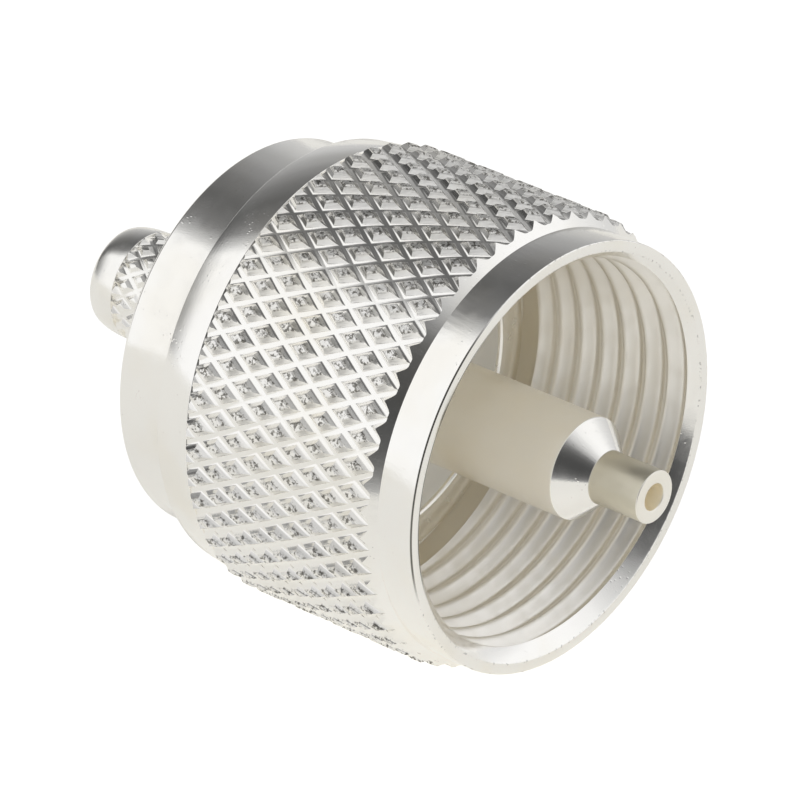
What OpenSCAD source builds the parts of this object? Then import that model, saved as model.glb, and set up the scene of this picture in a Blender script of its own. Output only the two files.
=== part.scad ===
// UHF cable plug with a knurled coupling nut and a crimp neck.
// The axis is X and the plug mates towards +X. The origin is on the axis, in
// the plane of the body's front ring, which the mating socket seats against.

/* [Centre contact] */
// Diameter of the contact in front of the insulator
contact_d = 4; // [3.8:0.05:4.2]
// Length of the straight part in front of the mating face
contact_straight = 9; // [8:0.1:10]
// Length of the cone between the straight part and the nozzle
contact_cone = 1; // [0.6:0.1:1.4]
// Distance from the mating face to the end of the nozzle
contact_reach = 12.25; // [11.8:0.05:13]
// Outside diameter of the nozzle
nozzle_d = 2.05; // [1.8:0.05:2.4]
// Hole through the nozzle, for the conductor
nozzle_bore_d = 1.05; // [0.9:0.05:1.2]
// Diameter of the contact where it passes through the insulator
contact_stem_d = 3.3; // [3:0.1:3.5]
// Wider bore behind the nozzle
contact_bore_d = 2.2; // [1.8:0.1:2.4]

/* [Insulator] */
// Diameter of the front disc
insulator_d = 11.5; // [11.2:0.1:12]
// Thickness of the front disc
insulator_disc = 3.3; // [2.6:0.1:3.4]
// Depth of its face below the mating face
insulator_recess = 0.15; // [0.15:0.05:0.3]
// Diameter of the boss behind the disc
insulator_boss_d = 8; // [7:0.1:8.4]
// Length of the boss
insulator_boss = 1.8; // [1.4:0.1:2.2]

/* [Plug body] */
// Diameter of the collar that the nut pulls on
collar_d = 14; // [13.8:0.05:14.1]
// Length of the collar
collar_len = 4.6; // [4.4:0.05:4.7]
// Diameter of the shank behind the collar
shank_d = 11.3; // [11.1:0.05:11.35]
// Length of the shank
shank_len = 3.9; // [3.8:0.1:4.4]

/* [Crimp neck] */
// Diameter over the knurl
neck_d = 4.35; // [4.3:0.05:4.7]
// Bore for the cable's dielectric
neck_bore_d = 3.1; // [2.9:0.05:3.2]
// Distance from the mating face to the neck's end
neck_reach = 14.1; // [13.8:0.1:16]
// Length of the plain rounded nose
neck_nose = 1.35; // [1:0.05:1.6]
// Diameter of the nose at its end
nose_d = 3.7; // [3.5:0.05:3.9]
// Plain length between the body and the knurl
neck_plain = 0.9; // [0.5:0.1:1.2]
// Length of the head pressed into the body
neck_head = 1.6; // [1.2:0.1:1.6]
// Diamonds round the neck
neck_knurl_count = 16; // [12:1:20]
// Length of one diamond along the axis
neck_knurl_cell = 1.2; // [1:0.05:1.5]
// Depth of the neck's knurl
neck_knurl_depth = 0.15; // [0.1:0.01:0.2]

/* [Coupling nut] */
// Distance from the mating face to the nut's mouth
mouth_x = 7.9; // [7.6:0.05:8.2]
// Whole length of the nut
nut_len = 15.1; // [15:0.05:15.3]
// Diameter of the smooth ring at the mouth
lip_d = 16.75; // [16.6:0.05:17]
// Length of the smooth ring
lip_len = 1.6; // [1.5:0.05:2]
// Diameter over the knurl
knurl_d = 17.8; // [17.7:0.05:18]
// Length of the knurl
knurl_len = 9.1; // [8.9:0.05:9.2]
// Depth of the knurl
knurl_depth = 0.29; // [0.2:0.01:0.35]
// Diamonds round the nut
knurl_count = 52; // [46:1:60]
// Length of one diamond along the axis
knurl_cell = 1.875; // [1.7:0.005:2.1]
// Share of a diamond's width and length that its flat top takes
diamond_top = 0.3; // [0.2:0.01:0.5]
// Diameter of the smooth band where it meets the knurl
band_d = 17.35; // [17.25:0.05:17.45]
// Diameter of the smooth band where it meets the tail
band_rear_d = 16.9; // [16.7:0.05:17.2]
// Length of the smooth band
band_len = 1.65; // [1.5:0.05:1.7]
// Diameter of the tail behind the band
tail_d = 15.35; // [15.2:0.05:15.6]
// Minor diameter of the 5/8-24 thread
thread_minor_d = 14.85; // [14.75:0.01:14.98]
// Outer diameter of the countersink at the mouth
countersink_d = 16; // [15.9:0.05:16.2]
// Length from the mouth to the thread relief
thread_len = 7.5; // [7.2:0.1:7.6]
// Diameter of the thread relief
relief_d = 16.3; // [16.1:0.05:16.4]
// Length of the thread relief
relief_len = 1.4; // [1.2:0.1:1.5]

/* [Retaining ring] */
// Thickness of the ring along the axis
ring_w = 0.8; // [0.7:0.05:0.9]
// Outside diameter of the ring
ring_d = 12.2; // [12.1:0.05:12.25]
// Inside diameter of the ring
ring_bore_d = 10.6; // [10.5:0.05:10.65]
// Angle of the ring's gap
ring_gap = 24; // [15:1:40]
// Axial play of the nut on the body
nut_play = 0.6; // [0.3:0.05:0.6]

/* [Hidden] */
$fn = 96;

// Clearances and small edge breaks
running_gap = 0.1;
seat_gap = 0.05;
edge = 0.12;
lip_edge = 0.04;
tail_edge = 0.15;
through = 1;

// Stations of the nut along the axis, from the mouth to the tail
knurl_front = mouth_x - lip_len;
knurl_rear = knurl_front - knurl_len;
band_rear = knurl_rear - band_len;
tail_x = mouth_x - nut_len;
relief_front = mouth_x - thread_len;
relief_rear = relief_front - relief_len;
flange_front = -collar_len - seat_gap;
countersink_len = (countersink_d - thread_minor_d) / 2;

// Diameters that run on each other
collar_bore_d = collar_d + 2 * running_gap;
flange_bore_d = shank_d + 2 * running_gap;
nut_groove_d = ring_d + running_gap;
// The body's groove is deep enough for the ring to close into it
body_groove_d = shank_d - (ring_d - ring_bore_d);

// The ring sits in the front end of the body's groove and fills the nut's
ring_setback = 0.9;
ring_front = flange_front - ring_setback;
ring_rear = ring_front - ring_w;
nut_groove_front = ring_front + seat_gap;
nut_groove_rear = ring_rear - seat_gap;
body_groove_front = ring_front + seat_gap;
body_groove_rear = ring_rear - seat_gap - nut_play;

// Inside of the body
shank_rear = -collar_len - shank_len;
disc_rear = -insulator_recess - insulator_disc;
boss_rear = disc_rear - insulator_boss;
head_front = shank_rear + neck_head;

// The contact's bores and its flared rear end
nozzle_bore_len = 3.6;
drill_cone = (contact_bore_d - nozzle_bore_d) / 2;
flare_d = 4.2;
flare_len = 0.35;
contact_edge = 0.08;

// Where the first row of diamonds lies behind each knurl's rear end, and its angle
knurl_start = 0.35;
knurl_angle = 37;
neck_knurl_start = 0.1;
neck_knurl_angle = 30;
neck_knurl_front = shank_rear - neck_plain;
neck_knurl_rear = neck_nose - neck_reach;
neck_core_d = neck_d - 3 * neck_knurl_depth;
nose_steps = 6;

// A solid turned about the X axis from an outline of [station, diameter] pairs
module turned(outline) {
    rotate([0, 90, 0])
        rotate_extrude()
            polygon([for (p = outline) [p[1] / 2, p[0]]]);
}

// A plain cylinder between two stations
module bar(from, to, d) {
    translate([from, 0, 0])
        rotate([0, 90, 0])
            cylinder(h = to - from, d = d);
}

// A point on the axis's right-hand angle scale, with angle 0 at the top
function around(x, angle, d) = [x, -d / 2 * sin(angle), d / 2 * cos(angle)];

// A bar with raised diamonds all over, from a row of tops at one station to at
// least another station. A row is half a diamond further on, and odd rows are
// turned by half a diamond.
module diamond_bar(d, depth, count, cell, angle, from, to) {
    step = 360 / count;
    half = cell / 2;
    rows = ceil((to - from) / half) + 1;
    // Points of one diamond: left, right, groove crossing, front tip and rear tip
    kinds = 5;
    points = [
        for (j = [0 : rows - 1], k = [0 : count - 1])
            let (x = from + j * half, a = angle + (k + (j % 2) / 2) * step)
            each [
                around(x, a - diamond_top * step / 2, d),
                around(x, a + diamond_top * step / 2, d),
                around(x, a + step / 2, d - 2 * depth),
                around(x + diamond_top * half, a, d),
                around(x - diamond_top * half, a, d)
            ]
    ];
    function at(j, k, kind) = (j * count + (k + count) % count) * kinds + kind;
    // Behind the next row's diamond n lies this row's crossing k. The next row's
    // crossing m lies in front of this row's diamond k.
    skin = [
        for (j = [0 : rows - 2], k = [0 : count - 1])
            let (n = k + j % 2, m = n - 1)
            each [
                [at(j, k, 0), at(j, k, 3), at(j, k, 1)],
                [at(j, k, 1), at(j, k, 3), at(j + 1, m, 2), at(j, k, 2)],
                [at(j, k, 0), at(j, k - 1, 2), at(j + 1, m, 2), at(j, k, 3)],
                [at(j + 1, n, 0), at(j + 1, n, 1), at(j + 1, n, 4)],
                [at(j + 1, n, 0), at(j + 1, n, 4), at(j, k, 2), at(j + 1, m, 2)],
                [at(j + 1, n, 1), at(j + 1, n, 2), at(j, k, 2), at(j + 1, n, 4)]
            ]
    ];
    rear_end = [for (k = [0 : count - 1], kind = [0 : 2]) at(0, k, kind)];
    front_end = [for (k = [count - 1 : -1 : 0], kind = [2 : -1 : 0]) at(rows - 1, k, kind)];
    polyhedron(points, concat(skin, [rear_end, front_end]));
}

// A knurled length: the diamond bar with both ends turned to a slope, down to
// rear_d and front_d
module knurl(d, rear_d, front_d, depth, count, cell, angle, start, from, to) {
    intersection() {
        diamond_bar(d, depth, count, cell, angle, from - start, to);
        turned([
            [from, 0],
            [from, rear_d],
            [from + (d - rear_d) / 2 + through, d + 2 * through],
            [to - (d - front_d) / 2 - through, d + 2 * through],
            [to, front_d],
            [to, 0]
        ]);
    }
}

// The nut's outside: ring at the mouth, knurl, band and tail
module nut_blank() {
    knurl(knurl_d, band_d, lip_d, knurl_depth, knurl_count, knurl_cell, knurl_angle,
          knurl_start, knurl_rear, knurl_front);
    turned([
        [knurl_rear, 0],
        [knurl_rear, lip_d],
        [mouth_x - lip_edge, lip_d],
        [mouth_x, lip_d - 2 * lip_edge],
        [mouth_x, 0]
    ]);
    turned([
        [tail_x, 0],
        [tail_x, tail_d - 2 * tail_edge],
        [tail_x + tail_edge, tail_d],
        [band_rear, tail_d],
        [band_rear, band_rear_d],
        [knurl_rear, band_d],
        [knurl_rear, 0]
    ]);
}

// The nut's inside: countersink, thread, relief, collar bore, flange and ring groove
module nut_bore() {
    turned([
        [tail_x - through, 0],
        [tail_x - through, flange_bore_d + 2 * edge],
        [tail_x, flange_bore_d + 2 * edge],
        [tail_x + edge, flange_bore_d],
        [nut_groove_rear, flange_bore_d],
        [nut_groove_rear, nut_groove_d],
        [nut_groove_front, nut_groove_d],
        [nut_groove_front, flange_bore_d],
        [flange_front, flange_bore_d],
        [flange_front, collar_bore_d],
        [relief_rear, collar_bore_d],
        [relief_rear, relief_d],
        [relief_front, relief_d],
        [relief_front, thread_minor_d],
        [mouth_x - countersink_len, thread_minor_d],
        [mouth_x, countersink_d],
        [mouth_x + through, countersink_d],
        [mouth_x + through, 0]
    ]);
}

module coupling_nut() {
    color("silver")
        difference() {
            nut_blank();
            nut_bore();
        }
}

// The split ring that keeps the nut on the body
module retaining_ring() {
    color("slategray")
        rotate([0, 90, 0])
            rotate([0, 0, ring_gap / 2])
                rotate_extrude(angle = 360 - ring_gap)
                    polygon([
                        [ring_bore_d / 2, ring_rear],
                        [ring_d / 2, ring_rear],
                        [ring_d / 2, ring_front],
                        [ring_bore_d / 2, ring_front]
                    ]);
}

// Front ring and collar, shank with its ring groove, and stepped bore
module plug_body() {
    color("gainsboro")
        difference() {
            turned([
                [shank_rear, 0],
                [shank_rear, shank_d - 2 * edge],
                [shank_rear + edge, shank_d],
                [body_groove_rear, shank_d],
                [body_groove_rear, body_groove_d],
                [body_groove_front, body_groove_d],
                [body_groove_front, shank_d],
                [-collar_len, shank_d],
                [-collar_len, collar_d],
                [-edge, collar_d],
                [0, collar_d - 2 * edge],
                [0, 0]
            ]);
            turned([
                [shank_rear - through, 0],
                [shank_rear - through, insulator_boss_d],
                [disc_rear, insulator_boss_d],
                [disc_rear, insulator_d],
                [-edge, insulator_d],
                [0, insulator_d + 2 * edge],
                [through, insulator_d + 2 * edge],
                [through, 0]
            ]);
        }
}

// The disc and boss that hold the contact on the axis
module insulator() {
    color("ivory")
        difference() {
            turned([
                [boss_rear, 0],
                [boss_rear, insulator_boss_d],
                [disc_rear, insulator_boss_d],
                [disc_rear, insulator_d],
                [-insulator_recess, insulator_d],
                [-insulator_recess, 0]
            ]);
            bar(boss_rear - through, through, contact_stem_d);
        }
}

// The contact sits with its shoulder on the insulator and is flared behind it
module center_contact() {
    color("lightgray")
        difference() {
            turned([
                [boss_rear - flare_len, 0],
                [boss_rear - flare_len, flare_d],
                [boss_rear, contact_stem_d],
                [-insulator_recess, contact_stem_d],
                [-insulator_recess, contact_d],
                [contact_straight, contact_d],
                [contact_straight + contact_cone, nozzle_d],
                [contact_reach - contact_edge, nozzle_d],
                [contact_reach, nozzle_d - 2 * contact_edge],
                [contact_reach, 0]
            ]);
            turned([
                [boss_rear - flare_len - through, 0],
                [boss_rear - flare_len - through, contact_bore_d],
                [contact_reach - nozzle_bore_len - drill_cone, contact_bore_d],
                [contact_reach - nozzle_bore_len, nozzle_bore_d],
                [contact_reach + through, nozzle_bore_d],
                [contact_reach + through, 0]
            ]);
        }
}

// The neck's nose curves in from the knurl's diameter to its end
function nose_point(i) =
    let (a = 90 * i / nose_steps)
    [neck_knurl_rear - neck_nose * sin(a), nose_d + (neck_d - nose_d) * cos(a)];

// Head pressed into the body, plain length, knurl and rounded nose
module crimp_neck() {
    color("darkgray")
        difference() {
            union() {
                turned([
                    [-neck_reach, 0],
                    for (i = [nose_steps : -1 : 0]) nose_point(i),
                    [neck_knurl_rear, neck_core_d],
                    [neck_knurl_front, neck_core_d],
                    [neck_knurl_front, neck_d],
                    [shank_rear, neck_d],
                    [shank_rear, insulator_boss_d],
                    [head_front, insulator_boss_d],
                    [head_front, 0]
                ]);
                knurl(neck_d, neck_d, neck_d - 2 * edge, neck_knurl_depth, neck_knurl_count,
                      neck_knurl_cell, neck_knurl_angle, neck_knurl_start,
                      neck_knurl_rear, neck_knurl_front);
            }
            turned([
                [-neck_reach - through, 0],
                [-neck_reach - through, neck_bore_d + 2 * edge],
                [-neck_reach, neck_bore_d + 2 * edge],
                [edge - neck_reach, neck_bore_d],
                [head_front + through, neck_bore_d],
                [head_front + through, 0]
            ]);
        }
}

coupling_nut();
retaining_ring();
plug_body();
insulator();
center_contact();
crimp_neck();
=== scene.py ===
import math
import bpy
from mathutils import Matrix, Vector


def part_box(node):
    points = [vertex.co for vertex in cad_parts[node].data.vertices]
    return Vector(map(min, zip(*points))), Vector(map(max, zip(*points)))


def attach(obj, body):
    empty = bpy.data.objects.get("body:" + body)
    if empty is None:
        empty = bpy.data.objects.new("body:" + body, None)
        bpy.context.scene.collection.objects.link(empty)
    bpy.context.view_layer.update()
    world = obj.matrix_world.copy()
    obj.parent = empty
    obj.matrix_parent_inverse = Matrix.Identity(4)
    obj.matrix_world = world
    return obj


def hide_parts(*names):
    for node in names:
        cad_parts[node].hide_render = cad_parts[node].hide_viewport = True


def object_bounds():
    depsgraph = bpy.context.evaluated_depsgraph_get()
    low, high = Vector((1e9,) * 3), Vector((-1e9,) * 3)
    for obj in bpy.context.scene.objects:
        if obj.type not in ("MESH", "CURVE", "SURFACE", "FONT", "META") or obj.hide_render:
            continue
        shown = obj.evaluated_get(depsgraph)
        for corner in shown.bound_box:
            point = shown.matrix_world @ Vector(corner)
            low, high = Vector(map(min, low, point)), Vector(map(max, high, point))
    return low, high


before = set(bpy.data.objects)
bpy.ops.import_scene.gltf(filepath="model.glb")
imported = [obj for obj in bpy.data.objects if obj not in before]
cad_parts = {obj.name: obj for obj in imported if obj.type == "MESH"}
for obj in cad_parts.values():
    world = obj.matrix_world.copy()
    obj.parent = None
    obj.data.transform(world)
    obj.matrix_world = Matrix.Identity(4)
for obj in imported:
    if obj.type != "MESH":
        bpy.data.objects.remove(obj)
cad_low, cad_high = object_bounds()

MM = 0.001
nut_low, nut_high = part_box("coupling_nut")
body_low, body_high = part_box("plug_body")
neck_low, neck_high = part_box("crimp_neck")
contact_low, contact_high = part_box("center_contact")
insulator_low, insulator_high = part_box("insulator")

# Stations of the nut along the axis, from its front and rear
MOUTH_X = nut_high.x
TAIL_X = nut_low.x
KNURL_FRONT_X = MOUTH_X - 1.6 * MM
KNURL_REAR_X = KNURL_FRONT_X - 9.1 * MM
BAND_REAR_X = KNURL_REAR_X - 1.65 * MM

# Camera: turned from the axis, raised above it, and framed as the photograph is
CAMERA_TURN = math.radians(48.593)
CAMERA_RISE = math.radians(28.336)
CAMERA_DISTANCE = 263 * MM
CAMERA_LENS = 324.3
FRAMING_RIGHT = 5.93 * MM
FRAMING_UP = -2.15 * MM


def place_camera():
    back = Vector((
        math.cos(CAMERA_RISE) * math.cos(CAMERA_TURN),
        -math.cos(CAMERA_RISE) * math.sin(CAMERA_TURN),
        math.sin(CAMERA_RISE),
    ))
    right = Vector((0, 0, 1)).cross(back).normalized()
    up = back.cross(right)
    mouth = Vector((MOUTH_X, 0, 0))
    bpy.ops.object.camera_add(
        location=mouth + CAMERA_DISTANCE * back - FRAMING_RIGHT * right - FRAMING_UP * up,
        rotation=(-back).to_track_quat("-Z", "Y").to_euler(),
    )
    camera = bpy.context.object
    camera.name = "photo_view"
    camera.data.sensor_width = 36
    camera.data.lens = CAMERA_LENS
    camera.data.clip_start = 0.01
    camera.data.clip_end = 10
    bpy.context.scene.camera = camera


place_camera()


# Finishes. Each is worked out from the piece's own coordinates.

class Finish:
    """A material under construction, with short ways to add and join its nodes."""

    def __init__(self, name):
        self.material = bpy.data.materials.new(name)
        self.material.use_nodes = True
        self.nodes = self.material.node_tree.nodes
        self.links = self.material.node_tree.links
        self.shader = self.nodes["Principled BSDF"]
        self.place = self.nodes.new("ShaderNodeTexCoord").outputs["Object"]

    def set(self, socket, value):
        """Joins a socket to another node's output, or sets it where the value is plain."""
        if isinstance(value, bpy.types.NodeSocket):
            self.links.new(value, socket)
        else:
            socket.default_value = value

    def stretch(self, x, y, z):
        """The coordinates multiplied along each axis."""
        node = self.nodes.new("ShaderNodeVectorMath")
        node.operation = "MULTIPLY"
        self.set(node.inputs[0], self.place)
        node.inputs[1].default_value = (x, y, z)
        return node.outputs[0]

    def noise(self, scale, detail=2.0, rough=0.5, place=None):
        """Soft random grey. The scale is its count of waves in a metre."""
        node = self.nodes.new("ShaderNodeTexNoise")
        self.set(node.inputs["Vector"], place or self.place)
        node.inputs["Scale"].default_value = scale
        node.inputs["Detail"].default_value = detail
        node.inputs["Roughness"].default_value = rough
        return node.outputs["Fac"]

    def spots(self, scale, size, soft):
        """Sparse round spots: 1 inside a spot and 0 outside it."""
        node = self.nodes.new("ShaderNodeTexVoronoi")
        self.set(node.inputs["Vector"], self.place)
        node.inputs["Scale"].default_value = scale
        return self.band(node.outputs["Distance"], size + soft, size)

    def band(self, value, start, end, low=0.0, high=1.0):
        """Maps a value between start and end onto low to high, with soft ends."""
        node = self.nodes.new("ShaderNodeMapRange")
        node.interpolation_type = "SMOOTHSTEP"
        self.set(node.inputs["Value"], value)
        node.inputs["From Min"].default_value = start
        node.inputs["From Max"].default_value = end
        node.inputs["To Min"].default_value = low
        node.inputs["To Max"].default_value = high
        return node.outputs["Result"]

    def math(self, operation, first, second=0.0):
        """One step of arithmetic."""
        node = self.nodes.new("ShaderNodeMath")
        node.operation = operation
        self.set(node.inputs[0], first)
        self.set(node.inputs[1], second)
        return node.outputs[0]

    def blend(self, share, first, second):
        """A colour between two others."""
        node = self.nodes.new("ShaderNodeMix")
        node.data_type = "RGBA"
        self.set(node.inputs["Factor"], share)
        self.set(node.inputs["A"], first)
        self.set(node.inputs["B"], second)
        return node.outputs["Result"]

    def reach(self):
        """Distance from the plug's axis."""
        node = self.nodes.new("ShaderNodeVectorMath")
        node.operation = "LENGTH"
        self.set(node.inputs[0], self.stretch(0, 1, 1))
        return node.outputs["Value"]

    def at(self, axis):
        """The place along an axis."""
        node = self.nodes.new("ShaderNodeSeparateXYZ")
        self.set(node.inputs[0], self.place)
        return node.outputs[axis]

    def join(self, x, y, z=0.0):
        """Three values as one place."""
        node = self.nodes.new("ShaderNodeCombineXYZ")
        for socket, value in zip(node.inputs, (x, y, z)):
            self.set(socket, value)
        return node.outputs[0]

    def near_edge(self, x, radius, solid, faint):
        """1 within the solid distance of an edge that runs round the axis, 0 beyond faint."""
        node = self.nodes.new("ShaderNodeVectorMath")
        node.operation = "LENGTH"
        self.set(node.inputs[0], self.join(self.math("SUBTRACT", self.at("X"), x),
                                           self.math("SUBTRACT", self.reach(), radius)))
        return self.band(node.outputs["Value"], faint, solid)

    def facing(self, axis):
        """How far the surface faces along an axis."""
        node = self.nodes.new("ShaderNodeSeparateXYZ")
        self.set(node.inputs[0], self.nodes.new("ShaderNodeTexCoord").outputs["Normal"])
        return node.outputs[axis]

    def facing_up(self):
        """How far the surface leans round the axis, back towards the top."""
        lean = self.math("SUBTRACT", self.math("MULTIPLY", self.facing("Y"), self.at("Z")),
                         self.math("MULTIPLY", self.facing("Z"), self.at("Y")))
        return self.math("DIVIDE", lean, self.reach())

    def bump(self, height, distance, below=None):
        """A relief of this height in metres, over another relief where one is given."""
        node = self.nodes.new("ShaderNodeBump")
        self.set(node.inputs["Height"], height)
        node.inputs["Distance"].default_value = distance
        if below is not None:
            self.set(node.inputs["Normal"], below)
        return node.outputs["Normal"]

    def finish(self, colour, roughness, normal=None, **plain):
        """Joins everything to the shader and gives the material back."""
        self.set(self.shader.inputs["Base Color"], colour)
        self.set(self.shader.inputs["Roughness"], roughness)
        if normal is not None:
            self.set(self.shader.inputs["Normal"], normal)
        for name, value in plain.items():
            self.shader.inputs[name.replace("_", " ").title()].default_value = value
        return self.material


# Colours of the plating, from clean to worn through
CLEAN_SILVER = (0.96, 0.95, 0.925, 1)
AGED_SILVER = (0.93, 0.905, 0.84, 1)
WARM_SILVER = (0.975, 0.945, 0.87, 1)
PALE_SILVER = (0.985, 0.965, 0.91, 1)
DULL_SILVER = (0.925, 0.905, 0.86, 1)
SHADED_SILVER = (0.94, 0.925, 0.89, 1)
TARNISHED_SILVER = (0.63, 0.595, 0.49, 1)
THIN_TARNISH = (0.71, 0.675, 0.57, 1)
SPECK_GREY = (0.45, 0.44, 0.42, 1)
WORN_GREY = (0.16, 0.155, 0.14, 1)
TORN_GREY = (0.24, 0.23, 0.21, 1)


def turned_silver(name, smoothest, roughest, marks, tarnish, worn_edges=()):
    """Silver plating over turned brass: a faint warm bloom, turning marks that run round the
    axis, a fine grain and a few tiny dark specks. Edges given as [x, radius] are darkened: worn
    in dots along them, and dark all along a stretch on the near side."""
    f = Finish(name)
    bloom = f.band(f.noise(260, 3), 0.45, 0.7, 0.0, tarnish)
    specks = f.spots(4200, 0.05, 0.05)
    specks = f.math("MULTIPLY", specks, f.band(f.noise(900, 2), 0.55, 0.65))
    colour = f.blend(bloom, CLEAN_SILVER, AGED_SILVER)
    colour = f.blend(specks, colour, SPECK_GREY)
    line_half_width = 0.03 * MM
    line_reach = 0.07 * MM
    for x, radius in worn_edges:
        dotted = f.band(f.noise(6500, 3, 0.6), 0.52, 0.68, 0.0, 0.45)
        # The edge is dark all along a stretch on the near side, the side towards the camera
        near_side = f.math("MULTIPLY", f.band(f.at("Y"), -3.5 * MM, -5.5 * MM),
                           f.band(f.at("Z"), -3 * MM, -1 * MM))
        worn = f.math("MULTIPLY", f.math("MAXIMUM", dotted, near_side),
                      f.near_edge(x, radius, line_half_width, line_reach))
        colour = f.blend(worn, colour, WORN_GREY)
    grain = f.noise(16000, 3, 0.6)
    roughness = f.band(f.noise(1500, 3), 0.35, 0.7, smoothest, roughest)
    pits = f.math("MULTIPLY", f.spots(5200, 0.04, 0.22), f.band(f.noise(700, 3), 0.52, 0.64))
    # Waves in a metre along the axis and across it: turning marks are fine and long
    lines = f.noise(1, 3, 0.7, f.stretch(22000, 500, 500))
    pit_depth = 0.005 * MM
    grain_depth = 0.0012 * MM
    normal = f.bump(lines, marks)
    normal = f.bump(pits, pit_depth, normal)
    normal = f.bump(grain, grain_depth, normal)
    return f.finish(colour, roughness, normal, metallic=1.0)


def matt_silver(name, smoothest, roughest, first=WARM_SILVER, second=PALE_SILVER):
    """Silver plating inside the plug and on the contact, which the bath leaves warmer and
    matt. Its colour wanders between the first and the second."""
    f = Finish(name)
    colour = f.blend(f.band(f.noise(420, 3), 0.3, 0.7), first, second)
    roughness = f.band(f.noise(1500, 3), 0.35, 0.7, smoothest, roughest)
    grain_depth = 0.0008 * MM
    normal = f.bump(f.noise(9000, 3, 0.6), grain_depth)
    return f.finish(colour, roughness, normal, metallic=1.0)


def worn_knurl_silver(name, crest):
    """The knurl's plating. The rolling tool has left lines along the flanks that face the mouth
    and the near side, and has torn the tops. The crest is the radius of the tops."""
    f = Finish(name)
    bloom = f.band(f.noise(260, 3), 0.45, 0.7, 0.0, 0.6)
    colour = f.blend(bloom, CLEAN_SILVER, AGED_SILVER)
    facing_mouth = f.band(f.facing("X"), 0.12, 0.3)
    facing_down = f.band(f.math("MULTIPLY", f.facing_up(), -1.0), 0.2, 0.4)
    lined_side = f.math("MULTIPLY", facing_mouth, facing_down)
    waves_up = 17000.0
    waves_along = 2600.0
    lines = f.noise(1, 3, 0.65, f.join(f.math("MULTIPLY", f.reach(), waves_up),
                                       f.math("MULTIPLY", f.at("X"), waves_along),
                                       f.math("MULTIPLY", f.at("Y"), waves_along)))
    lines = f.math("MULTIPLY", lines, lined_side)
    tops = f.band(f.reach(), crest - 0.1 * MM, crest - 0.05 * MM)
    torn = f.math("MULTIPLY", f.noise(7000, 4, 0.7), tops)
    # Dark spots go on the tops, and also on the high flanks beside them that face the mouth and
    # lean up
    high = f.band(f.reach(), crest - 0.16 * MM, crest - 0.08 * MM)
    beside_tops = f.math("MULTIPLY", high,
                         f.math("MULTIPLY", facing_mouth, f.band(f.facing_up(), 0.2, 0.4)))
    holes = f.math("MULTIPLY", f.band(f.noise(6500, 4, 0.7), 0.5, 0.58),
                   f.math("MAXIMUM", tops, beside_tops))
    colour = f.blend(holes, colour, TORN_GREY)
    roughness = f.band(f.math("MAXIMUM", lined_side, tops), 0.0, 1.0, 0.15, 0.3)
    line_depth = 0.02 * MM
    torn_depth = 0.03 * MM
    grain_depth = 0.0015 * MM
    normal = f.bump(lines, line_depth)
    normal = f.bump(torn, torn_depth, normal)
    normal = f.bump(f.noise(14000, 3, 0.6), grain_depth, normal)
    return f.finish(colour, roughness, normal, metallic=1.0)


def white_fluoropolymer():
    """The insulator: white and waxy, with a fine tooth from turning."""
    f = Finish("white_fluoropolymer")
    shaded_white = (0.88, 0.88, 0.86, 1)
    clear_white = (0.93, 0.93, 0.91, 1)
    colour = f.blend(f.noise(700, 3), shaded_white, clear_white)
    tooth = f.noise(1, 3, 0.6, f.stretch(9000, 9000, 9000))
    tooth_depth = 0.002 * MM
    return f.finish(colour, f.band(f.noise(900), 0.3, 0.7, 0.32, 0.45),
                    f.bump(tooth, tooth_depth))


def spring_bronze():
    """The retaining ring: drawn wire, brown and slightly dull."""
    f = Finish("spring_bronze")
    dark_bronze = (0.62, 0.42, 0.22, 1)
    light_bronze = (0.74, 0.54, 0.32, 1)
    colour = f.blend(f.noise(900, 3), dark_bronze, light_bronze)
    grain_depth = 0.002 * MM
    return f.finish(colour, f.band(f.noise(2500, 3), 0.3, 0.7, 0.25, 0.42),
                    f.bump(f.noise(12000, 3), grain_depth), metallic=1.0)


# Ways of working that several pieces share

# A diamond's flat top, as a share of its half width
KNURL_TOP = 0.3
# Edges that turn by more than the first are rounded, and faces that meet at less than the
# second are shaded as one
ROUNDED_TURN = math.radians(28)
SMOOTH_TURN = math.radians(30)
# Points nearer than this are one point: in an outline, in a rolled strip and after a cut
SAME_POINT = 0.0001 * MM
SAME_IN_STRIP = 0.001 * MM
SAME_AFTER_CUT = 0.002 * MM
# A place beside the pieces that is nearly never as far from two of their points
SORTING_PLACE = Vector((31, 41, 59)) * MM


def deselect():
    bpy.ops.object.select_all(action="DESELECT")


def turn(name, outline, sides):
    """Turns a piece about the X axis. A circle is drawn at the outline's first station and
    extruded from station to station; the last one is the first again and closes the wall."""
    deselect()
    x, radius = outline[0]
    bpy.ops.mesh.primitive_circle_add(
        vertices=sides, radius=radius, location=(x, 0, 0), rotation=(0, math.pi / 2, 0)
    )
    piece = bpy.context.object
    piece.name = name
    bpy.ops.object.transform_apply(location=True, rotation=True, scale=True)
    bpy.ops.object.mode_set(mode="EDIT")
    bpy.ops.mesh.select_all(action="SELECT")
    for (x, radius), (next_x, next_radius) in zip(outline, outline[1:] + outline[:1]):
        bpy.ops.mesh.extrude_region_move(TRANSFORM_OT_translate={"value": (next_x - x, 0, 0)})
        grow = next_radius / radius
        bpy.ops.transform.resize(value=(1, grow, grow), center_override=(next_x, 0, 0))
    bpy.ops.mesh.select_all(action="SELECT")
    bpy.ops.mesh.remove_doubles(threshold=SAME_POINT)
    bpy.ops.mesh.normals_make_consistent(inside=False)
    bpy.ops.object.mode_set(mode="OBJECT")
    return piece


def apply(piece, kind, **settings):
    """Adds a modifier to a piece, sets it and applies it."""
    deselect()
    piece.select_set(True)
    bpy.context.view_layer.objects.active = piece
    modifier = piece.modifiers.new(kind.lower(), kind)
    for key, value in settings.items():
        setattr(modifier, key, value)
    bpy.ops.object.modifier_apply(modifier=modifier.name)


def round_edges(piece, width):
    apply(piece, "BEVEL", width=width, segments=3, limit_method="ANGLE",
          angle_limit=ROUNDED_TURN)


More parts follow.
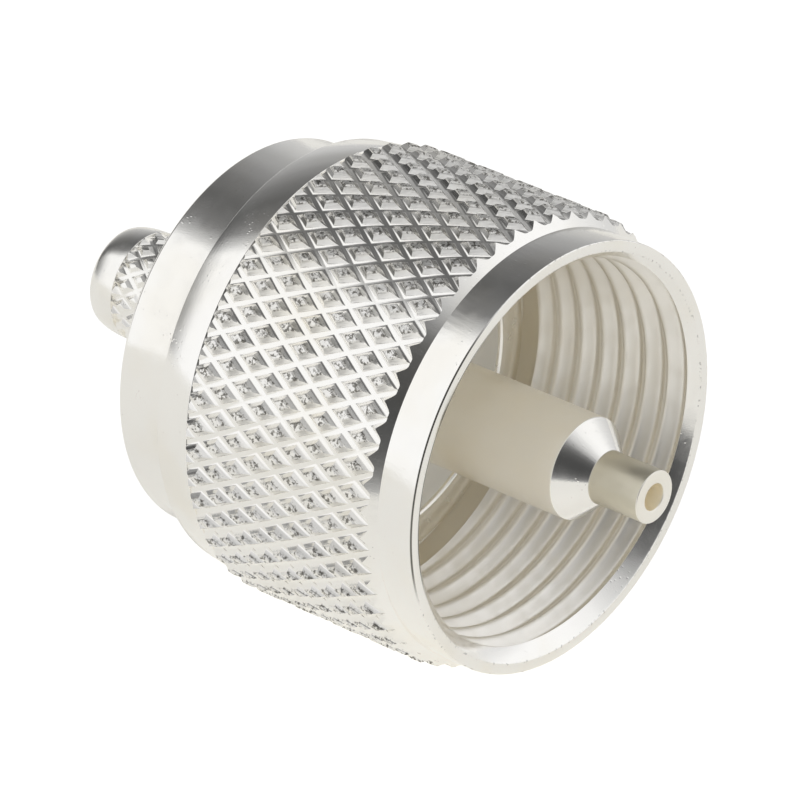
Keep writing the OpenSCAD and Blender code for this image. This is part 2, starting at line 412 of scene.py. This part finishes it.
def combine(piece, other, operation):
    """Joins another solid to a piece, or cuts it away, and removes the other. The result is
    sorted, because its order changes from run to run. Then points that fall together are merged
    and slits that this leaves are filled, so that the piece is closed."""
    apply(piece, "BOOLEAN", object=other, operation=operation, solver="EXACT")
    bpy.data.objects.remove(other)
    bpy.ops.object.mode_set(mode="EDIT")
    bpy.ops.mesh.select_all(action="SELECT")
    cursor = bpy.context.scene.cursor
    home = cursor.location.copy()
    cursor.location = SORTING_PLACE
    bpy.ops.mesh.sort_elements(type="CURSOR_DISTANCE", elements={"VERT", "EDGE", "FACE"})
    cursor.location = home
    bpy.ops.mesh.remove_doubles(threshold=SAME_AFTER_CUT)
    bpy.ops.mesh.select_all(action="SELECT")
    bpy.ops.mesh.fill_holes(sides=6)
    bpy.ops.object.mode_set(mode="OBJECT")


def smooth(piece):
    """Shades the piece smooth, apart from its sharp edges."""
    deselect()
    piece.select_set(True)
    bpy.context.view_layer.objects.active = piece
    bpy.ops.object.shade_smooth_by_angle(angle=SMOOTH_TURN)


def stand_for(piece, body, node, slot, *finishes):
    """Gives a piece its finishes and puts it in a CAD node's place."""
    for finish in finishes:
        piece.data.materials.append(finish)
    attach(piece, body)
    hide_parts(node)


def give_finish(piece, finish, wanted):
    """Gives the finish at this index to the faces for which wanted(centre, normal) is true."""
    for face in piece.data.polygons:
        if wanted(face.center, face.normal):
            face.material_index = finish


def roll_up(piece, radius):
    """Rolls a flat strip, which runs along Y, round the X axis. Angle 0 is at the top."""
    for vertex in piece.data.vertices:
        angle = vertex.co.y / radius
        reach = radius + vertex.co.z
        vertex.co.y = -reach * math.sin(angle)
        vertex.co.z = reach * math.cos(angle)


def close_end(piece, wanted, stops):
    """Runs a sleeve's open end over stops of [station, radius]. The end is picked by its X."""
    bpy.ops.mesh.select_all(action="DESELECT")
    bpy.ops.mesh.select_non_manifold()
    bpy.ops.object.mode_set(mode="OBJECT")
    for vertex in piece.data.vertices:
        vertex.select = vertex.select and wanted(vertex.co.x)
    for edge in piece.data.edges:
        edge.select = all(piece.data.vertices[i].select for i in edge.vertices)
    bpy.ops.object.mode_set(mode="EDIT")
    for x, radius in stops:
        bpy.ops.mesh.extrude_region_move()
        bpy.ops.object.mode_set(mode="OBJECT")
        for vertex in piece.data.vertices:
            if vertex.select:
                grow = radius / math.hypot(vertex.co.y, vertex.co.z)
                vertex.co = (x, vertex.co.y * grow, vertex.co.z * grow)
        bpy.ops.object.mode_set(mode="EDIT")


def knurled_sleeve(name, radius, depth, count, cell, start_x, start_angle, inner,
                   from_x, rear_radius, to_x, front_radius):
    """A sleeve of raised diamonds. One diamond is modelled flat, with flanks that curve out of
    the grooves. It is copied in rows, and both ends are cut to a slope, which comes down to
    the rear and front radius. Then the strip is rolled up and closed to a ring. The ring's
    own ends are sunk a little below the grooves."""
    root = radius - depth
    width = 2 * math.pi * root / count
    long_half, short_half = cell / 2, width / 2
    run = long_half * short_half / math.hypot(long_half, short_half) * (1 - KNURL_TOP)
    # Shares of the run and of the depth that each step up the flank takes
    flank = [(0.10, 0), (0.12, 0.02), (0.12, 0.07), (0.14, 0.15), (0.20, 0.28), (0.26, 0.43),
             (0.06, 0.05)]
    deselect()
    bpy.ops.mesh.primitive_circle_add(vertices=4, radius=1, fill_type="NGON")
    piece = bpy.context.object
    piece.name = name
    bpy.ops.object.mode_set(mode="EDIT")
    bpy.ops.mesh.select_all(action="SELECT")
    bpy.ops.transform.resize(value=(long_half, short_half, 1), center_override=(0, 0, 0))
    for across, up in flank:
        bpy.ops.mesh.inset(thickness=run * across, depth=depth * up)
    bpy.ops.mesh.poke()
    bpy.ops.mesh.select_all(action="SELECT")
    start_y = math.radians(start_angle) * root
    bpy.ops.transform.translate(value=(start_x, start_y, 0))
    bpy.ops.object.mode_set(mode="OBJECT")
    along = math.ceil((to_x - start_x) / cell) + 1
    apply(piece, "ARRAY", count=along, use_relative_offset=False, use_constant_offset=True,
          constant_offset_displace=(cell, 0, 0))
    apply(piece, "ARRAY", count=count, use_relative_offset=False, use_constant_offset=True,
          constant_offset_displace=(0, width, 0))
    bpy.ops.object.mode_set(mode="EDIT")
    bpy.ops.mesh.select_all(action="SELECT")
    bpy.ops.mesh.duplicate_move(TRANSFORM_OT_translate={"value": (long_half, short_half, 0)})
    slopes = [((from_x, 0, rear_radius - root), (-1, 0, 1)),
              ((to_x, 0, front_radius - root), (1, 0, 1))]
    for point, outward in slopes:
        bpy.ops.mesh.select_all(action="SELECT")
        bpy.ops.mesh.bisect(plane_co=point, plane_no=outward, clear_outer=True,
                            threshold=SAME_POINT)
    bpy.ops.object.mode_set(mode="OBJECT")
    roll_up(piece, root)
    bpy.ops.object.mode_set(mode="EDIT")
    bpy.ops.mesh.select_all(action="SELECT")
    bpy.ops.mesh.remove_doubles(threshold=SAME_IN_STRIP)
    middle = (from_x + to_x) / 2
    sunk = 0.05 * MM
    below = min(root, rear_radius) - sunk
    rear_x = from_x - (rear_radius - below)
    close_end(piece, lambda x: x < middle, [(rear_x, below), (rear_x, inner)])
    below = min(root, front_radius) - sunk
    front_x = to_x + (front_radius - below)
    close_end(piece, lambda x: x > middle, [(front_x, below), (front_x, inner)])
    bpy.ops.mesh.select_all(action="DESELECT")
    bpy.ops.mesh.select_non_manifold()
    bpy.ops.mesh.bridge_edge_loops()
    bpy.ops.mesh.select_all(action="SELECT")
    bpy.ops.mesh.normals_make_consistent(inside=False)
    bpy.ops.object.mode_set(mode="OBJECT")
    return piece


# The coupling nut

LIP_RADIUS = 8.375 * MM
BAND_FRONT_RADIUS = 8.675 * MM
BAND_REAR_RADIUS = 8.45 * MM
TAIL_RADIUS = 7.675 * MM
KNURL_RADIUS = nut_high.z
KNURL_DEPTH = 0.29 * MM
KNURL_COUNT = 52
KNURL_CELL = 1.875 * MM
KNURL_START = 0.35 * MM
KNURL_ANGLE = 37
MOUTH_BORE = 7.95 * MM
COUNTERSINK = 0.53 * MM
THREAD_MINOR = 7.425 * MM
THREAD_MAJOR = 7.86 * MM
THREAD_PITCH = 1.058 * MM
THREAD_TURNS = 9
RELIEF_RADIUS = 8.15 * MM
NUT_SIDES = 192
# The thread starts at one of the nut's sides, counted from the top
THREAD_START = 71


def nut_outline():
    relief_front = MOUTH_X - 7.5 * MM
    relief_rear = relief_front - 1.4 * MM
    collar_bore = 7.1 * MM
    flange_bore = 5.75 * MM
    flange_front = -4.65 * MM
    groove = 6.15 * MM
    groove_front = -5.5 * MM
    groove_rear = -6.4 * MM
    tail_edge = 0.15 * MM
    return [
        (MOUTH_X, MOUTH_BORE), (MOUTH_X, LIP_RADIUS), (KNURL_REAR_X, LIP_RADIUS),
        (KNURL_REAR_X, BAND_FRONT_RADIUS), (BAND_REAR_X, BAND_REAR_RADIUS),
        (BAND_REAR_X, TAIL_RADIUS), (TAIL_X + tail_edge, TAIL_RADIUS),
        (TAIL_X, TAIL_RADIUS - tail_edge), (TAIL_X, flange_bore), (groove_rear, flange_bore),
        (groove_rear, groove), (groove_front, groove), (groove_front, flange_bore),
        (flange_front, flange_bore), (flange_front, collar_bore), (relief_rear, collar_bore),
        (relief_rear, RELIEF_RADIUS), (relief_front, RELIEF_RADIUS), (relief_front, THREAD_MINOR),
        (MOUTH_X - COUNTERSINK, THREAD_MINOR),
    ]


def thread_section():
    """Half of the thread groove's section, as [distance from its middle, radius]: a soft wave
    from the root to a narrow crest, which runs out into the bore."""
    middle = (THREAD_MAJOR + THREAD_MINOR) / 2
    swing = (THREAD_MAJOR - THREAD_MINOR) / 2
    half = THREAD_PITCH / 2
    steps = 10
    wave = 0.93
    run_out = half * 0.97
    just_clear = 0.004 * MM
    well_clear = 0.25 * MM
    return [
        (half * wave * i / steps, middle + swing * math.cos(math.pi * wave * i / steps))
        for i in range(1, steps + 1)
    ] + [(run_out, THREAD_MINOR - just_clear), (run_out, THREAD_MINOR - well_clear)]


def thread_cutter(turns, start_angle):
    """The thread's groove as a solid coil: half its section is mirrored, and the section is
    screwed along the axis. It starts in front of the mouth."""
    section = thread_section()
    section += [(-x, radius) for x, radius in reversed(section)]
    deselect()
    bpy.ops.mesh.primitive_circle_add(vertices=len(section), radius=MM)
    cutter = bpy.context.object
    cutter.name = "thread_groove"
    front = MOUTH_X + THREAD_PITCH
    for vertex, (x, radius) in zip(cutter.data.vertices, section):
        vertex.co = (front + x, -radius * math.sin(start_angle), radius * math.cos(start_angle))
    apply(cutter, "SCREW", axis="X", angle=-2 * math.pi, screw_offset=-THREAD_PITCH,
          iterations=turns, steps=NUT_SIDES, render_steps=NUT_SIDES, use_merge_vertices=False)
    bpy.ops.object.mode_set(mode="EDIT")
    bpy.ops.mesh.select_all(action="SELECT")
    bpy.ops.mesh.fill_holes(sides=len(section))
    bpy.ops.mesh.normals_make_consistent(inside=False)
    bpy.ops.object.mode_set(mode="OBJECT")
    return cutter


def make_nut():
    nut = turn("threaded_nut", nut_outline(), NUT_SIDES)
    round_edges(nut, width=0.05 * MM)
    knurl = knurled_sleeve(
        "nut_knurl", radius=KNURL_RADIUS, depth=KNURL_DEPTH, count=KNURL_COUNT, cell=KNURL_CELL,
        start_x=KNURL_REAR_X - KNURL_START, start_angle=KNURL_ANGLE,
        inner=RELIEF_RADIUS + 0.1 * MM, from_x=KNURL_REAR_X, rear_radius=BAND_FRONT_RADIUS,
        to_x=KNURL_FRONT_X, front_radius=LIP_RADIUS,
    )
    combine(nut, knurl, "UNION")
    thread_angle = 2 * math.pi * THREAD_START / NUT_SIDES
    combine(nut, thread_cutter(THREAD_TURNS, thread_angle), "DIFFERENCE")
    smooth(nut)
    stand_for(nut, "nut", "coupling_nut", "nut_plating",
              turned_silver("turned_silver", smoothest=0.10, roughest=0.20, marks=0.0012 * MM,
                            tarnish=0.7,
                            worn_edges=[(MOUTH_X, LIP_RADIUS), (MOUTH_X, MOUTH_BORE)]),
              matt_silver("bore_silver", smoothest=0.4, roughest=0.5, first=DULL_SILVER,
                          second=SHADED_SILVER),
              worn_knurl_silver("knurl_silver", KNURL_RADIUS))

    def inward(centre, normal):
        return normal.y * centre.y + normal.z * centre.z < 0

    def in_bore(centre, normal):
        """Inside the nut, past the countersink's slope of 45 degrees."""
        reach = math.hypot(centre.y, centre.z)
        on_slope = centre.x > MOUTH_X - COUNTERSINK and 0.6 < normal.x < 0.8
        behind_rim = centre.x < MOUTH_X - 0.06 * MM
        under_relief = reach < RELIEF_RADIUS + 0.01 * MM
        deep_inside = reach < LIP_RADIUS - MM
        return (behind_rim and under_relief and not on_slope
                and (inward(centre, normal) or deep_inside))

    def on_knurl(centre, normal):
        reach = math.hypot(centre.y, centre.z)
        foot = KNURL_RADIUS - 1.2 * KNURL_DEPTH
        return reach > foot and KNURL_REAR_X < centre.x < KNURL_FRONT_X

    give_finish(nut, 1, in_bore)
    give_finish(nut, 2, on_knurl)


# The plug body, insulator, contact and crimp neck

CONTACT_RADIUS = 2 * MM
NOZZLE_RADIUS = 1.025 * MM
COLLAR_RADIUS = body_high.z
SHANK_RADIUS = 5.65 * MM
INSULATOR_RADIUS = insulator_high.z
BOSS_RADIUS = 4 * MM
DISC_REAR_X = insulator_high.x - 3.3 * MM
TURNED_SIDES = 160


def make_body():
    collar_rear = -4.6 * MM
    groove = 4.85 * MM
    groove_front = -5.5 * MM
    groove_rear = -7 * MM
    edge = 0.12 * MM
    body = turn("turned_body", [
        (body_high.x, INSULATOR_RADIUS + edge), (body_high.x, COLLAR_RADIUS),
        (collar_rear, COLLAR_RADIUS), (collar_rear, SHANK_RADIUS),
        (groove_front, SHANK_RADIUS), (groove_front, groove), (groove_rear, groove),
        (groove_rear, SHANK_RADIUS), (body_low.x, SHANK_RADIUS), (body_low.x, BOSS_RADIUS),
        (DISC_REAR_X, BOSS_RADIUS), (DISC_REAR_X, INSULATOR_RADIUS),
        (body_high.x - edge, INSULATOR_RADIUS),
    ], TURNED_SIDES)
    round_edges(body, width=0.07 * MM)
    smooth(body)
    stand_for(body, "body", "plug_body", "body_plating",
              turned_silver("body_silver", smoothest=0.16, roughest=0.28, marks=0.0015 * MM,
                            tarnish=1.0))


def make_insulator():
    stem = 1.65 * MM
    insulator = turn("turned_insulator", [
        (insulator_high.x, stem), (insulator_high.x, INSULATOR_RADIUS),
        (DISC_REAR_X, INSULATOR_RADIUS), (DISC_REAR_X, BOSS_RADIUS),
        (insulator_low.x, BOSS_RADIUS), (insulator_low.x, stem),
    ], TURNED_SIDES)
    round_edges(insulator, width=0.04 * MM)
    smooth(insulator)
    stand_for(insulator, "body", "insulator", "insulator_white", white_fluoropolymer())


def make_contact():
    stem = 1.65 * MM
    flare_front = contact_low.x + 0.35 * MM
    flare = contact_high.z + 0.1 * MM
    cone_front = contact_high.x - 2.25 * MM
    cone_rear = cone_front - MM
    nozzle_bore = 0.525 * MM
    bore = 1.1 * MM
    bore_front = contact_high.x - 3.6 * MM
    contact = turn("turned_contact", [
        (contact_high.x, nozzle_bore), (contact_high.x, NOZZLE_RADIUS),
        (cone_front, NOZZLE_RADIUS), (cone_rear, CONTACT_RADIUS),
        (insulator_high.x, CONTACT_RADIUS), (insulator_high.x, stem), (flare_front, stem),
        (contact_low.x, flare), (contact_low.x, bore),
        (bore_front - (bore - nozzle_bore), bore), (bore_front, nozzle_bore),
    ], TURNED_SIDES)
    round_edges(contact, width=0.04 * MM)
    smooth(contact)
    stand_for(contact, "body", "center_contact", "contact_plating",
              matt_silver("contact_silver", smoothest=0.32, roughest=0.42),
              turned_silver("cone_silver", smoothest=0.08, roughest=0.18, marks=0.003 * MM,
                            tarnish=0.3),
              matt_silver("nozzle_silver", smoothest=0.3, roughest=0.42, first=TARNISHED_SILVER,
                          second=THIN_TARNISH))
    nozzle_end = contact_high.x - 0.03 * MM
    nozzle_side = NOZZLE_RADIUS - 0.1 * MM
    give_finish(contact, 1, lambda centre, normal: cone_rear < centre.x < cone_front)
    give_finish(contact, 2, lambda centre, normal: cone_front < centre.x < nozzle_end
                and math.hypot(centre.y, centre.z) > nozzle_side)


def make_neck():
    radius = 2.175 * MM
    nose_end = 1.85 * MM
    bore = 1.55 * MM
    nose = 1.35 * MM
    edge = 0.12 * MM
    knurl_rear = neck_low.x + nose
    shoulder = 0.9 * MM
    knurl_front = body_low.x - shoulder
    depth = 0.15 * MM
    core = radius - 1.5 * depth
    steps = 8
    nose_arc = [
        (knurl_rear - nose * math.sin(math.pi / 2 * i / steps),
         nose_end + (radius - nose_end) * math.cos(math.pi / 2 * i / steps))
        for i in range(steps + 1)
    ]
    neck = turn("knurled_neck", [
        (neck_high.x, bore), (neck_high.x, BOSS_RADIUS), (body_low.x, BOSS_RADIUS),
        (body_low.x, radius), (knurl_front, radius), (knurl_front, core), (knurl_rear, core),
    ] + nose_arc + [(neck_low.x, bore + edge), (neck_low.x + edge, bore)], TURNED_SIDES)
    round_edges(neck, width=0.03 * MM)
    knurl = knurled_sleeve(
        "neck_knurl", radius=radius, depth=depth, count=16, cell=1.2 * MM,
        start_x=knurl_rear - 0.1 * MM, start_angle=30, inner=1.9 * MM, from_x=knurl_rear,
        rear_radius=radius, to_x=knurl_front, front_radius=radius - edge,
    )
    combine(neck, knurl, "UNION")
    smooth(neck)
    stand_for(neck, "body", "crimp_neck", "body_plating",
              turned_silver("neck_silver", smoothest=0.16, roughest=0.28, marks=0.001 * MM,
                            tarnish=0.8))


make_nut()
make_body()
make_insulator()
make_contact()
make_neck()
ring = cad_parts["retaining_ring"]
ring.data.materials.clear()
ring.data.materials.append(spring_bronze())


# Light: white all round, but for a dark stretch overhead, the unlit room on the camera's side
# and a dim patch behind the plug. The camera itself sees white everywhere.

WHITE = (1, 1, 1, 1)
ROOM_SIDE = Vector((0.76, -0.56, 0.33)).normalized()
REAR_SIDE = Vector((-0.985, -0.15, 0.08)).normalized()


def ramp(nodes, links, value, stops):
    """A grey that follows stops of [place from 0 to 1, brightness]."""
    node = nodes.new("ShaderNodeValToRGB")
    node.color_ramp.interpolation = "EASE"
    while len(node.color_ramp.elements) < len(stops):
        node.color_ramp.elements.new(0.5)
    for element, (place, grey) in zip(node.color_ramp.elements, stops):
        element.position = place
        element.color = (grey, grey, grey, 1)
    links.new(value, node.inputs["Fac"])
    return node.outputs["Color"]


def map_range(nodes, links, value, start, end):
    """Maps a value between start and end onto 0 to 1."""
    node = nodes.new("ShaderNodeMapRange")
    links.new(value, node.inputs["Value"])
    node.inputs["From Min"].default_value = start
    node.inputs["From Max"].default_value = end
    return node.outputs["Result"]


def towards(nodes, links, direction, side):
    """How nearly a direction points to a side: 1 where it does."""
    node = nodes.new("ShaderNodeVectorMath")
    node.operation = "DOT_PRODUCT"
    links.new(direction, node.inputs[0])
    node.inputs[1].default_value = side
    return node.outputs["Value"]


def multiply(nodes, links, first, second):
    node = nodes.new("ShaderNodeMix")
    node.data_type = "RGBA"
    node.blend_type = "MULTIPLY"
    node.inputs["Factor"].default_value = 1
    links.new(first, node.inputs["A"])
    links.new(second, node.inputs["B"])
    return node.outputs["Result"]


def make_light():
    world = bpy.data.worlds.new("studio")
    world.use_nodes = True
    bpy.context.scene.world = world
    nodes, links = world.node_tree.nodes, world.node_tree.links
    direction = nodes.new("ShaderNodeTexCoord").outputs["Generated"]
    axes = nodes.new("ShaderNodeSeparateXYZ")
    links.new(direction, axes.inputs[0])
    # Overhead stretch, by the angle round the plug's axis from the top towards the far side
    sweep = nodes.new("ShaderNodeMath")
    sweep.operation = "ARCTAN2"
    links.new(axes.outputs["Y"], sweep.inputs[0])
    links.new(axes.outputs["Z"], sweep.inputs[1])
    dark_from = math.radians(-20)
    dark_to = math.radians(110)
    overhead = ramp(nodes, links, map_range(nodes, links, sweep.outputs[0], dark_from, dark_to), [
        (0.0, 1.0), (0.06, 0.5), (0.12, 0.19), (0.27, 0.12), (0.39, 0.16), (0.5, 0.25),
        (0.6, 0.36), (0.82, 0.6), (1.0, 1.0),
    ])
    # It ends in front of the plug
    ahead = map_range(nodes, links, axes.outputs["X"], -0.1, 0.3)
    open_front = nodes.new("ShaderNodeMix")
    open_front.data_type = "RGBA"
    links.new(ahead, open_front.inputs["Factor"])
    links.new(overhead, open_front.inputs["A"])
    open_front.inputs["B"].default_value = WHITE
    # Both dim stretches deepen from an edge, where a direction begins to point their way
    room_edge = 0.3
    rear_edge = 0.88
    room_aim = towards(nodes, links, direction, ROOM_SIDE)
    room = ramp(nodes, links, map_range(nodes, links, room_aim, room_edge, 1.0), [
        (0.0, 1.0), (0.33, 0.93), (0.44, 0.8), (0.63, 0.64), (0.74, 0.42), (0.85, 0.17),
        (0.93, 0.1), (1.0, 0.07),
    ])
    rear_aim = towards(nodes, links, direction, REAR_SIDE)
    rear = ramp(nodes, links, map_range(nodes, links, rear_aim, rear_edge, 1.0), [
        (0.0, 1.0), (0.3, 0.8), (0.7, 0.4), (1.0, 0.28),
    ])
    reflected = multiply(nodes, links, open_front.outputs["Result"], room)
    reflected = multiply(nodes, links, reflected, rear)
    path = nodes.new("ShaderNodeLightPath")
    seen = nodes.new("ShaderNodeMix")
    seen.data_type = "RGBA"
    links.new(path.outputs["Is Camera Ray"], seen.inputs["Factor"])
    links.new(reflected, seen.inputs["A"])
    seen.inputs["B"].default_value = WHITE
    links.new(seen.outputs["Result"], nodes["Background"].inputs["Color"])


FLOOR_GREY = (0.62, 0.61, 0.585, 1)
FLOOR_GLOW = (1, 0.99, 0.945, 1)


def make_floor():
    # The sheet ends a little in front of the plug, on the room's side, and runs far behind it
    size = 1
    front_edge = 46 * MM
    towards_room = Vector((ROOM_SIDE.x, ROOM_SIDE.y, 0)).normalized()
    middle = (front_edge - size / 2) * towards_room
    deselect()
    bpy.ops.mesh.primitive_plane_add(
        size=size, location=(middle.x, middle.y, cad_low.z),
        rotation=(0, 0, math.atan2(towards_room.y, towards_room.x)),
    )
    floor = bpy.context.object
    floor.name = "floor"
    material = bpy.data.materials.new("pale_floor")
    material.use_nodes = True
    nodes, links = material.node_tree.nodes, material.node_tree.links
    shader = nodes["Principled BSDF"]
    shader.inputs["Base Color"].default_value = FLOOR_GREY
    shader.inputs["Roughness"].default_value = 0.9
    shader.inputs["Specular IOR Level"].default_value = 0.0
    path = nodes.new("ShaderNodeLightPath")
    tint = nodes.new("ShaderNodeMix")
    tint.data_type = "RGBA"
    links.new(path.outputs["Is Camera Ray"], tint.inputs["Factor"])
    tint.inputs["A"].default_value = FLOOR_GLOW
    tint.inputs["B"].default_value = WHITE
    links.new(tint.outputs["Result"], shader.inputs["Emission Color"])
    # What each kind of ray sees of the floor's own glow
    shares = [("Is Camera Ray", 0.75), ("Is Glossy Ray", 0.46), ("Is Transmission Ray", 0.46)]
    strength = None
    for ray, share in shares:
        node = nodes.new("ShaderNodeMath")
        node.operation = "MULTIPLY_ADD"
        links.new(path.outputs[ray], node.inputs[0])
        node.inputs[1].default_value = share
        node.inputs[2].default_value = 0.0
        if strength is not None:
            links.new(strength, node.inputs[2])
        strength = node.outputs[0]
    links.new(strength, shader.inputs["Emission Strength"])
    floor.data.materials.append(material)


make_light()
make_floor()
# The light in the nut's bore has been reflected many times
cycles = bpy.context.scene.cycles
cycles.max_bounces = 24
cycles.glossy_bounces = 24
cycles.diffuse_bounces = 8
cycles.blur_glossy = 0.0
bpy.context.scene.view_settings.view_transform = "Standard"
